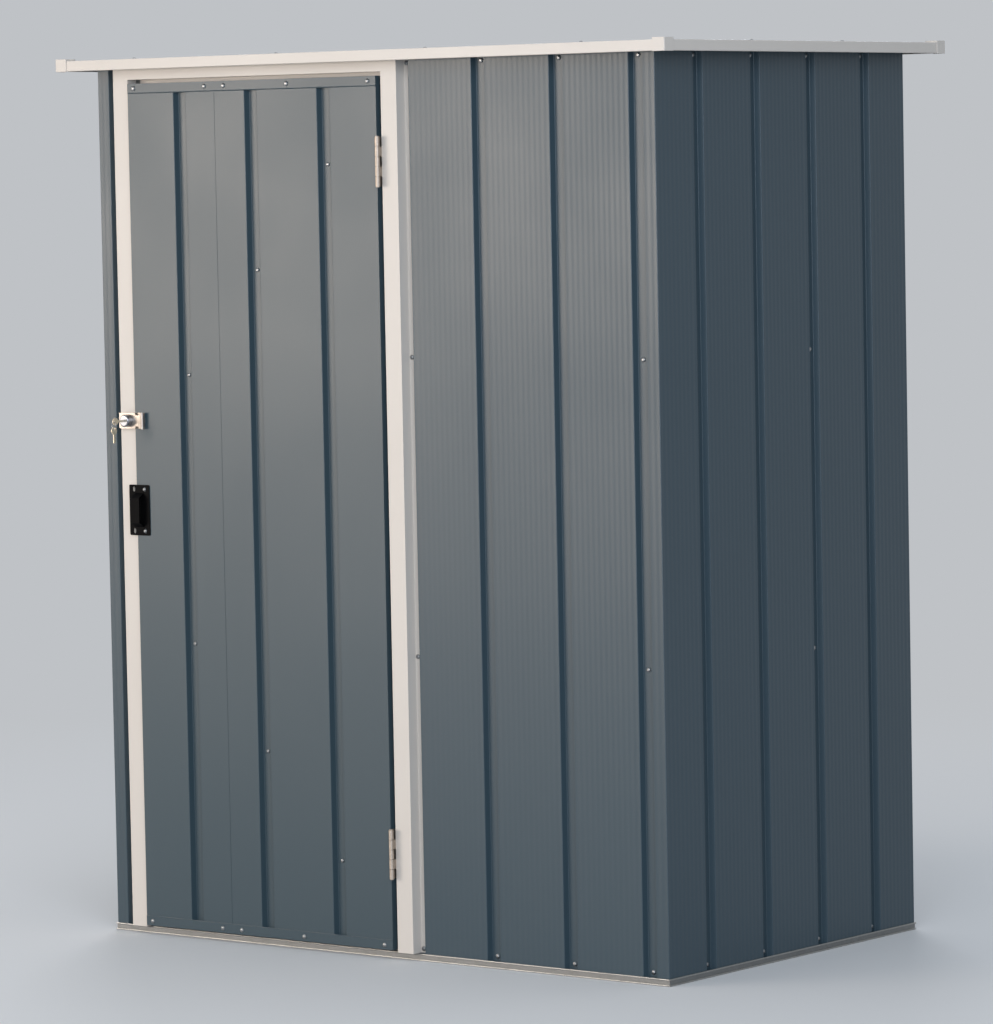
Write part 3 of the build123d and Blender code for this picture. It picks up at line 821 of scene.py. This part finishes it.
def door_line(left, right):
    """Outer line of a door skin as plan points."""
    points = [(left, DOOR_SKIN)]
    for mark in [m for m in DOOR_GROOVES if left < m < right]:
        points += groove(mark, DOOR_SKIN, DOOR_SKIN + GROOVE_DEPTH)
    points.append((right, DOOR_SKIN))
    return [Vector(point) for point in points]


def backward(point):
    """Into the shed from any point of the door."""
    return Vector((0.0, 1.0, 0.0))


for skin_name, (left, right) in DOOR_SKINS.items():
    skin = folded_sheet(
        f"{skin_name}_pressed",
        rounded(door_line(left, right), BEND_RADIUS),
        plan_place(DOOR_LOW),
        (0.0, 0.0, (DOOR_HIGH - DOOR_LOW) * MM),
        SHEET,
        door_paint,
        backward,
    )
    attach(skin, "door")
    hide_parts(skin_name)
    print(skin_name, len(skin.data.polygons), "faces")

# %% Lay the seam
SEAM_LEFT, SEAM_RIGHT = SEAM - 10.0, SEAM + 7.5
SEAM_STEP = 0.5
RAIL_COVER = 20.0
seam_low, seam_high = DOOR_LOW + RAIL_COVER, DOOR_HIGH - RAIL_COVER
seam_ends = [Vector((x, DOOR_SKIN - SEAM_STEP)) for x in (SEAM_LEFT, SEAM_RIGHT)]
seam = folded_sheet(
    "door_seam_lap",
    [(*seam_ends, True)],
    plan_place(seam_low),
    (0.0, 0.0, (seam_high - seam_low) * MM),
    SEAM_STEP,
    door_paint,
    backward,
)
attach(seam, "door")
print("seam", round(SEAM_RIGHT - SEAM_LEFT, 2), "mm wide")

# %% [markdown]
# ## The roof trim
#
# A C section of cream strip holds the ends of the roof sheets. The four lengths meet in mitres
# under the corner caps. Each length is folded as the sheets are, with a tighter bend, and then its
# ends are cut back by as much as a point lies inside the outer face.

# %% Fold the roof trim
TRIM_LOW, TRIM_HIGH = 1830.0, 1852.0
TRIM_TOP_LEG, TRIM_UNDER_LEG = 24.0, 10.0
TRIM_BEND = 1.4
OUT_DIRECTIONS = [Vector((0, -1, 0)), Vector((1, 0, 0)), Vector((0, 1, 0)), Vector((-1, 0, 0))]
SIDE_NAMES = ["front", "right", "back", "left"]


def trim_length(side):
    """One folded length of trim with mitred ends. Sides count round from the front."""
    out, along = OUT_DIRECTIONS[side], OUT_DIRECTIONS[(side + 1) % 4]
    half_deep, half_long = (HALF_WIDTH, DEPTH / 2) if side % 2 else (DEPTH / 2, HALF_WIDTH)
    overhangs = (FRONT_OVERHANG, SIDE_OVERHANG)
    reach, end_reach = overhangs[::-1] if side % 2 else overhangs
    full = half_long + end_reach
    base = CENTRE + out * half_deep - along * full
    inside_point = (CENTRE + out * (half_deep + reach - TRIM_UNDER_LEG / 2)) * MM
    inside_height = (TRIM_LOW + TRIM_HIGH) / 2 * MM

    def place(point):
        """A point of the section, given as distance out from the wall and height."""
        spot = (base + out * point.x) * MM
        return (spot.x, spot.y, point.y * MM)

    def into_section(point):
        """From a point of the strip towards the hollow of the C."""
        return out * (inside_point - point).dot(out) + Vector((0, 0, inside_height - point.z))

    section = [
        Vector((reach - TRIM_TOP_LEG, TRIM_HIGH)),
        Vector((reach, TRIM_HIGH)),
        Vector((reach, TRIM_LOW)),
        Vector((reach - TRIM_UNDER_LEG, TRIM_LOW)),
    ]
    trim = folded_sheet(
        f"roof_trim_{SIDE_NAMES[side]}_folded",
        rounded(section, TRIM_BEND),
        place,
        tuple(along * 2 * full * MM),
        TRIM_STEEL,
        cream_paint,
        into_section,
    )
    for vertex in trim.data.vertices:
        spot = vertex.co - CENTRE * MM
        cut_back = reach - (spot.dot(out) / MM - half_deep)
        vertex.co += along * math.copysign(cut_back, -spot.dot(along)) * MM
    return trim


for side, side_name in enumerate(SIDE_NAMES):
    trim = trim_length(side)
    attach(trim, "shed")
    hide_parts(f"roof_trim_{side_name}")
print("trim lengths", len(SIDE_NAMES))

# %% [markdown]
# ## The rounded edges of the rails
#
# The free edges of thin strip are folded over on themselves, so nobody is cut by them, and a bend
# has a radius. Both show as a thin line, light where the round looks up at the sky and dark where
# it looks down. A slim round rod, half sunk in the edge, gives that line on the upper and lower
# edge of the base rail's outer lip, and on the free edges of the door's two rails. The base rail's
# rods wear zinc painted lighter than the rail, a painted highlight along the lip.

# %% Round the lip of the base rail


def add_ring(bm, centre, right, up, radius, sides):
    """A ring of points round a centre, in metres."""
    angles = [2 * math.pi * k / sides for k in range(sides)]
    return [bm.verts.new(centre + (right * math.cos(a) + up * math.sin(a)) * radius) for a in angles]


def pairs_round(points):
    """Each point of a closed ring with the one after it."""
    return list(zip(points, points[1:] + points[:1]))


def join_rings(bm, first, second):
    """The faces between two rings with as many points."""
    for (a, b), (c, d) in zip(pairs_round(first), pairs_round(second)):
        bm.faces.new((a, b, d, c))


ROD_SIDES = 10
UP = Vector((0.0, 0.0, 1.0))


def round_edge(name, ends, radius, body, material):
    """Slim rods with closed ends, between pairs of points in millimetres."""
    bm = bmesh.new()
    for pair in ends:
        start, end = [Vector(point) * MM for point in pair]
        across = (end - start).cross(UP).normalized()
        rings = [add_ring(bm, point, across, UP, radius * MM, ROD_SIDES) for point in (start, end)]
        join_rings(bm, *rings)
        bm.faces.new(rings[0])
        bm.faces.new(rings[1])
    bmesh.ops.recalc_face_normals(bm, faces=bm.faces)
    piece = new_piece(name, [])
    bm.to_mesh(piece.data)
    bm.free()
    dress(piece, material)
    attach(piece, body)


LIP_HIGH, LIP_ROUND, LIP_PROUD = 15.0, 1.7, 0.8
rail_side = corners(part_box("base_rail_right"))[1][0] / MM + LIP_PROUD
rail_front = corners(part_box("base_rail_front"))[0][1] / MM - LIP_PROUD
rail_rear = corners(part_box("base_rail_back"))[1][1] / MM + LIP_PROUD
rail_corners = [(-rail_side, rail_front), (rail_side, rail_front)]
rail_corners += [(rail_side, rail_rear), (-rail_side, rail_rear)]
lip_ends = []
for height in (LIP_HIGH - LIP_ROUND, LIP_ROUND):
    lip_ends += pairs_round([(*corner, height) for corner in rail_corners])
# The lip's rods wear lighter zinc: a painted highlight along the rail's edges
round_edge("base_rail_lip_rounds", lip_ends, LIP_ROUND, "shed", edge_highlight_zinc)
print("base rail outline", round(rail_side, 2), round(rail_front, 2), round(rail_rear, 2))

# %% Round the hems of the door's rails
HEM_ROUND, HEM_BEHIND, HEM_SHORT = 1.1, 0.3, 1.0
for rail_name, free_edge in (("door_rail_top", 0), ("door_rail_bottom", 1)):
    rail_box = corners(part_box(rail_name))
    (left, face, _), (right, _, _) = rail_box
    height = rail_box[free_edge][2] / MM
    hem_y = face / MM + HEM_BEHIND
    hem_ends = [((left / MM + HEM_SHORT, hem_y, height), (right / MM - HEM_SHORT, hem_y, height))]
    round_edge(f"{rail_name}_hem", hem_ends, HEM_ROUND, "door", door_paint)
    print(rail_name, "hem at", round(height, 2))

# %% [markdown]
# ## Soft edges on cast and cut parts
#
# The corner caps are moulded and the handle is stamped, so their edges are slightly round. The CAD
# mesh is loose triangles. A merged copy with its flat faces joined takes a bevel cleanly. The
# caps' tops also stand 2 mm higher, as in the photograph, and the header's ends close the few
# millimetres of play that the CAD leaves beside the jambs, because no gap shows there.

# %% Copy a node and soften its edges
CAD_SAME_POINT = 0.005 * MM
FLAT_ANGLE = math.radians(1)
EDGE_ANGLE = math.radians(40)


def soft_copy(node_name, suffix, width, body, material):
    """A bevelled copy that stands for a node."""
    mesh = frame["nodes"][node_name].data.copy()
    piece = bpy.data.objects.new(f"{node_name}_{suffix}", mesh)
    scene.collection.objects.link(piece)
    bm = bmesh.new()
    bm.from_mesh(mesh)
    bmesh.ops.remove_doubles(bm, verts=bm.verts, dist=CAD_SAME_POINT)
    bmesh.ops.dissolve_limit(
        bm, angle_limit=FLAT_ANGLE, verts=bm.verts, edges=bm.edges, use_dissolve_boundaries=False
    )
    bm.to_mesh(mesh)
    bm.free()
    dress(piece, material)
    bevel = piece.modifiers.new("soft", "BEVEL")
    bevel.width = width * MM
    bevel.segments = 2
    bevel.limit_method = "ANGLE"
    bevel.angle_limit = EDGE_ANGLE
    plain_mesh(piece)
    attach(piece, body)
    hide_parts(node_name)
    return piece


CAP_TOP_ABOVE, CAP_RISE = 0.5, 2.0
for corner_name in ("front_left", "front_right", "back_right", "back_left"):
    cap = soft_copy(f"roof_corner_{corner_name}", "moulded", 0.6, "shed", cream_paint)
    for vertex in cap.data.vertices:
        if vertex.co.z > (TRIM_HIGH + CAP_TOP_ABOVE) * MM:
            vertex.co.z += CAP_RISE * MM
    print(cap.name, len(cap.data.polygons), "faces")

# %% Soften the handle and bring the header up to the jambs
HEADER_END, HEADER_REACH = 1.0, 3.7
soft_copy("door_handle", "stamped", 0.5, "door", black_paint)
header = soft_copy("door_header", "flush", 0.2, "shed", cream_paint)
header_left, header_right = [corner[0] for corner in corners(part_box("door_header"))]
for vertex in header.data.vertices:
    if vertex.co.x < header_left + HEADER_END * MM:
        vertex.co.x -= HEADER_REACH * MM
    elif vertex.co.x > header_right - HEADER_END * MM:
        vertex.co.x += HEADER_REACH * MM
print("header", round((header_right - header_left) / MM + 2 * HEADER_REACH, 1), "mm long")

# %% [markdown]
# ## Screws by Geometry Nodes
#
# One head is modelled once, a low dome with a cross recess, and a tree sets it on points. Each
# point knows which way its surface faces and how large its head is. Nothing here is random, so
# the tree needs no seed.

# %% Model one screw head
HEAD_SEGMENTS = 14
HEAD_PROFILE = [(5.0, 0.0), (4.8, 1.1), (4.1, 2.1), (3.0, 2.8), (1.9, 3.1)]
CROSS_ARM, CROSS_HALF, CROSS_DEEP = 1.4, 0.35, 1.0


def screw_head():
    """Pan head with a cross recess, standing on Z with its seat at zero."""
    bm = bmesh.new()
    right, up = Vector((1.0, 0.0, 0.0)), Vector((0.0, 1.0, 0.0))
    rings = [
        add_ring(bm, Vector((0.0, 0.0, height * MM)), right, up, radius * MM, HEAD_SEGMENTS)
        for radius, height in HEAD_PROFILE
    ]
    for low, high in zip(rings, rings[1:]):
        join_rings(bm, low, high)
    bm.faces.new(rings[0][::-1])
    a, h = CROSS_ARM, CROSS_HALF
    cross = [(a, -h), (a, h), (h, h), (h, a), (-h, a), (-h, h)]
    cross += [(-x, -y) for x, y in cross]
    top = HEAD_PROFILE[-1][1]
    upper = [bm.verts.new((x * MM, y * MM, top * MM)) for x, y in cross]
    lower = [bm.verts.new((x * MM, y * MM, (top - CROSS_DEEP) * MM)) for x, y in cross]
    edges = [bm.edges.new(pair) for pair in pairs_round(upper)]
    edges += [bm.edges.get(pair) for pair in pairs_round(rings[-1])]
    bmesh.ops.triangle_fill(bm, use_beauty=True, edges=edges)
    join_rings(bm, upper, lower)
    bm.faces.new(lower)
    bmesh.ops.recalc_face_normals(bm, faces=bm.faces)
    mesh = bpy.data.meshes.new("screw_head")
    bm.to_mesh(mesh)
    bm.free()
    return bpy.data.objects.new("screw_head", mesh)


head = screw_head()
scene.collection.objects.link(head)
print("screw head faces", len(head.data.polygons))

# %% Build the screw tree
screw_tree, screw_given = new_tree(
    "screws_on_points", [("Head", "NodeSocketObject"), ("Finish", "NodeSocketMaterial")]
)
facing = add_node(
    screw_tree, "GeometryNodeInputNamedAttribute", {"data_type": "FLOAT_VECTOR"}, {"Name": "facing"}
)
head_size = add_node(
    screw_tree, "GeometryNodeInputNamedAttribute", {"data_type": "FLOAT"}, {"Name": "size"}
)
turned = add_node(
    screw_tree, "FunctionNodeAlignRotationToVector", {"axis": "Z"}, {"Vector": (facing, "Attribute")}
)
shape = add_node(
    screw_tree, "GeometryNodeObjectInfo", inputs={"Object": (screw_given, "Head"), "As Instance": True}
)
heads = add_node(
    screw_tree,
    "GeometryNodeInstanceOnPoints",
    inputs={
        "Points": (screw_given, "Geometry"),
        "Instance": (shape, "Geometry"),
        "Rotation": (turned, "Rotation"),
        "Scale": (head_size, "Attribute"),
    },
)
end_tree(screw_tree, screw_given, (heads, "Instances"))


def screws(name, rows, body):
    """One mesh of screw heads. Each row is a place in millimetres, a facing and a size."""
    piece = new_piece(name, [tuple(c * MM for c in place) for place, _, _ in rows])
    facings = piece.data.attributes.new("facing", "FLOAT_VECTOR", "POINT")
    facings.data.foreach_set("vector", [c for _, way, _ in rows for c in way])
    sizes = piece.data.attributes.new("size", "FLOAT", "POINT")
    sizes.data.foreach_set("value", [size for _, _, size in rows])
    add_tree(piece, screw_tree, {"Head": head, "Finish": zinc_plate})
    plain_mesh(piece)
    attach(piece, body)
    print(name, len(rows), "screws", len(piece.data.polygons), "faces")


print("screw tree nodes", len(screw_tree.nodes))

# %% [markdown]
# ## Where the screws go
#
# Every groove has a screw at the top and one at the bottom, into the rails. The grooves in which a
# sheet starts or ends have two more between. On the front the jambs' flanges lie in two of them,
# so there the screws sit on the flange. On the roof trim they are smaller, one in every second pan
# at the front and back, and two at each side. The door has them along its rails, in its grooves
# where the slanting braces pass behind, and in two of the handle's slots.

# %% Set the screws of the shed
SCREW_TOP, SCREW_LOW = 1825.0, 23.5
LAP_HEIGHTS = (1231.0, 622.0)
LAP_GROOVES = (0, 4, 7, 10, 13, 16, 18, 21)
FLANGE_GROOVES = {0: -679.0, 4: 101.5}
FLANGE_FACE = 5.35
FULL_SIZE = 1.0
shed_rows = []
for number, mark in enumerate(groove_marks):
    lapped = number in LAP_GROOVES
    x, y = on_wall(mark, GROOVE_DEPTH - (SHEET if lapped else 0.0))
    if number in FLANGE_GROOVES:
        x, y = FLANGE_GROOVES[number], FLANGE_FACE
    out = tuple(OUT_DIRECTIONS[side_of(mark)])
    for height in (SCREW_TOP, SCREW_LOW) + (LAP_HEIGHTS if lapped else ()):
        shed_rows.append(((x, y, height), out, FULL_SIZE))

TRIM_SCREW_SIZE = 0.78
TRIM_SCREW_IN = 12.0
TRIM_SCREW_X = [k * GROOVE_PITCH for k in (-3, -1, 1, 3)]
TRIM_SCREW_Y = (FRONT + 252.0, FRONT + 570.0)
trim_half = HALF_WIDTH + SIDE_OVERHANG - TRIM_SCREW_IN
trim_front, trim_back = FRONT - FRONT_OVERHANG + TRIM_SCREW_IN, BACK + FRONT_OVERHANG - TRIM_SCREW_IN
trim_spots = [(x, y) for x in TRIM_SCREW_X for y in (trim_front, trim_back)]
trim_spots += [(x, y) for y in TRIM_SCREW_Y for x in (-trim_half, trim_half)]
shed_rows += [((x, y, TRIM_HIGH), tuple(UP), TRIM_SCREW_SIZE) for x, y in trim_spots]
screws("shed_screws", shed_rows, "shed")

# %% Set the screws of the door
TO_FRONT = (0, -1, 0)
RAIL_FACE, RAIL_SCREW_SIZE = -28.45, 1.0
RAIL_SCREW_X = (-609.5, -412.5, -360.0, -189.0, 26.0)
RAIL_SCREW_Z = (1790.5, 29.5)
BRACE_SCREW_SIZE = 0.9
BRACE_HEIGHTS = ((1190.0, 625.0), (1409.0, 409.0), (1624.0, 193.0))
HANDLE_FACE, HANDLE_SCREW_SIZE = -29.65, 0.8
HANDLE_SCREW_X, HANDLE_SCREW_Z = -603.9, (859.5, 947.5)
door_rows = [((x, RAIL_FACE, z), TO_FRONT, RAIL_SCREW_SIZE) for x in RAIL_SCREW_X for z in RAIL_SCREW_Z]
for mark, heights in zip(DOOR_GROOVES, BRACE_HEIGHTS):
    door_rows += [((mark, DOOR_SKIN + GROOVE_DEPTH, z), TO_FRONT, BRACE_SCREW_SIZE) for z in heights]
door_rows += [((HANDLE_SCREW_X, HANDLE_FACE, z), TO_FRONT, HANDLE_SCREW_SIZE) for z in HANDLE_SCREW_Z]
screws("door_screws", door_rows, "door")
bpy.data.objects.remove(head)

# %% [markdown]
# ## Floor and background
#
# The floor is plain and pale, and it is stage, so it isn't part of the shed. Far from the shed it
# fades into the colour of the background, so that no horizon cuts the picture. Light Path tells
# which rays go to the eye, straight or by way of a mirror. Those see the pale floor and background,
# while the light that falls on the shed stays at its plain level and meets a greyer floor.

# %% Tell seen rays from lighting rays
BACKGROUND = "#bfc2c6"


def seen_rays(tree):
    """One for camera, glossy and transmission rays, and nothing for the rest."""
    path = add_node(tree, "ShaderNodeLightPath")
    straight = add_node(
        tree,
        "ShaderNodeMath",
        {"operation": "ADD"},
        {0: (path, "Is Camera Ray"), 1: (path, "Is Glossy Ray")},
    )
    return add_node(
        tree,
        "ShaderNodeMath",
        {"operation": "ADD", "use_clamp": True},
        {0: (straight, "Value"), 1: (path, "Is Transmission Ray")},
    )


print("background", BACKGROUND)

# %% Mix the floor's finish
FLOOR_LIT, FLOOR_SEEN = "#b9b9b8", "#eaeae9"
FLOOR_ROUGHNESS, FLOOR_SPECULAR = 0.9, 0.2
FADE_FROM, FADE_TO = 1.7, 5.0
floor_material, floor_tree = new_material("pale_floor")
floor_seen = seen_rays(floor_tree)
floor_colour = add_node(
    floor_tree,
    "ShaderNodeMix",
    {"data_type": "RGBA"},
    {"Factor": (floor_seen, "Value"), "A": linear(FLOOR_LIT), "B": linear(FLOOR_SEEN)},
)
floor_shader = add_node(
    floor_tree,
    "ShaderNodeBsdfPrincipled",
    inputs={
        "Base Color": (floor_colour, "Result"),
        "Roughness": FLOOR_ROUGHNESS,
        "Specular IOR Level": FLOOR_SPECULAR,
    },
)
floor_spot = add_node(floor_tree, "ShaderNodeTexCoord")
distance = add_node(
    floor_tree, "ShaderNodeVectorMath", {"operation": "LENGTH"}, {0: (floor_spot, "Object")}
)
fade = add_node(
    floor_tree,
    "ShaderNodeMapRange",
    {"interpolation_type": "SMOOTHSTEP"},
    {"Value": (distance, "Value"), "From Min": FADE_FROM, "From Max": FADE_TO},
)
far = add_node(
    floor_tree, "ShaderNodeMath", {"operation": "MULTIPLY"}, {0: (fade, "Result"), 1: (floor_seen, "Value")}
)
far_shader = add_node(floor_tree, "ShaderNodeEmission", inputs={"Color": linear(BACKGROUND)})
floor_mix = add_node(
    floor_tree,
    "ShaderNodeMixShader",
    inputs={0: (far, "Value"), 1: (floor_shader, "BSDF"), 2: (far_shader, "Emission")},
)
finish(floor_tree, floor_mix)
print("floor fades from", FADE_FROM, "to", FADE_TO, "metres")

# %% Lay the floor
FLOOR_HALF = 60.0
floor_corners = [(x * FLOOR_HALF, y * FLOOR_HALF, 0) for x, y in ((-1, -1), (1, -1), (1, 1), (-1, 1))]
floor = new_piece("floor", floor_corners, faces=[(0, 1, 2, 3)])
dress(floor, floor_material)
print("floor half width", FLOOR_HALF)

# %% [markdown]
# ## Light
#
# In the photograph the front is pale towards the top and keeps its own colour towards the ground,
# because its satin coat mirrors light that comes from low down on the left. Two warm panels, long
# and low, stand one above the other where the camera sees them mirrored in the front wall. The
# upper one is four times as bright, so the veil fades down the wall. A wide cool fill from the
# right opens the side wall and the grooves, and a weak warm one lights the front. One lamp behind
# and one above are for the sides that the photograph doesn't show. The world adds a faint cool
# light from everywhere.

# %% Light the world
AMBIENT_COLOUR, AMBIENT_STRENGTH = "#e6f2ff", 0.31
world = bpy.data.worlds.new("sky")
scene.world = world
world.use_nodes = True
sky_tree = world.node_tree
sky_tree.nodes.clear()
sky_seen = seen_rays(sky_tree)
ambient = add_node(
    sky_tree,
    "ShaderNodeBackground",
    inputs={"Color": linear(AMBIENT_COLOUR), "Strength": AMBIENT_STRENGTH},
)
background = add_node(
    sky_tree, "ShaderNodeBackground", inputs={"Color": linear(BACKGROUND), "Strength": 1.0}
)
sky = add_node(
    sky_tree,
    "ShaderNodeMixShader",
    inputs={0: (sky_seen, "Value"), 1: (ambient, "Background"), 2: (background, "Background")},
)
add_node(sky_tree, "ShaderNodeOutputWorld", inputs={"Surface": (sky, "Shader")})
print("sky nodes", len(sky_tree.nodes))

# %% Set the lamps


def soft_light(name, place, target, width, height, watts, colour):
    """Rectangular area light that looks at a point and doesn't show itself."""
    data = bpy.data.lights.new(name, "AREA")
    data.shape = "RECTANGLE"
    data.size = width
    data.size_y = height
    data.energy = watts
    data.color = linear(colour)[:3]
    lamp = bpy.data.objects.new(name, data)
    lamp.location = place
    aim = Vector(target) - Vector(place)
    lamp.rotation_euler = aim.to_track_quat("-Z", "Y").to_euler()
    lamp.visible_camera = False
    scene.collection.objects.link(lamp)


soft_light("sky_panel", (-4.8, -6.1, 1.75), (0, 0, 0.9), 4.5, 1.1, 203, "#fff0e2")
soft_light("horizon_panel", (-4.8, -6.1, 0.65), (0, 0, 0.9), 4.5, 1.1, 50, "#fff0e2")
soft_light("right_fill", (6.0, -6.5, 3.2), (0, 0, 1.0), 6.0, 5.0, 500, "#e6f0ff")
soft_light("front_fill", (0.5, -8.5, 3.2), (0, 0, 1.0), 5.0, 4.0, 80, "#fff6ee")
soft_light("back_fill", (-6.0, 8.0, 3.4), (0, 0.4, 1.0), 4.0, 4.0, 300, "#f4f7ff")
soft_light("top_fill", (0.0, 0.4, 6.0), (0, 0.4, 0), 5.0, 5.0, 60, "#ffffff")
scene.view_settings.view_transform = "Standard"
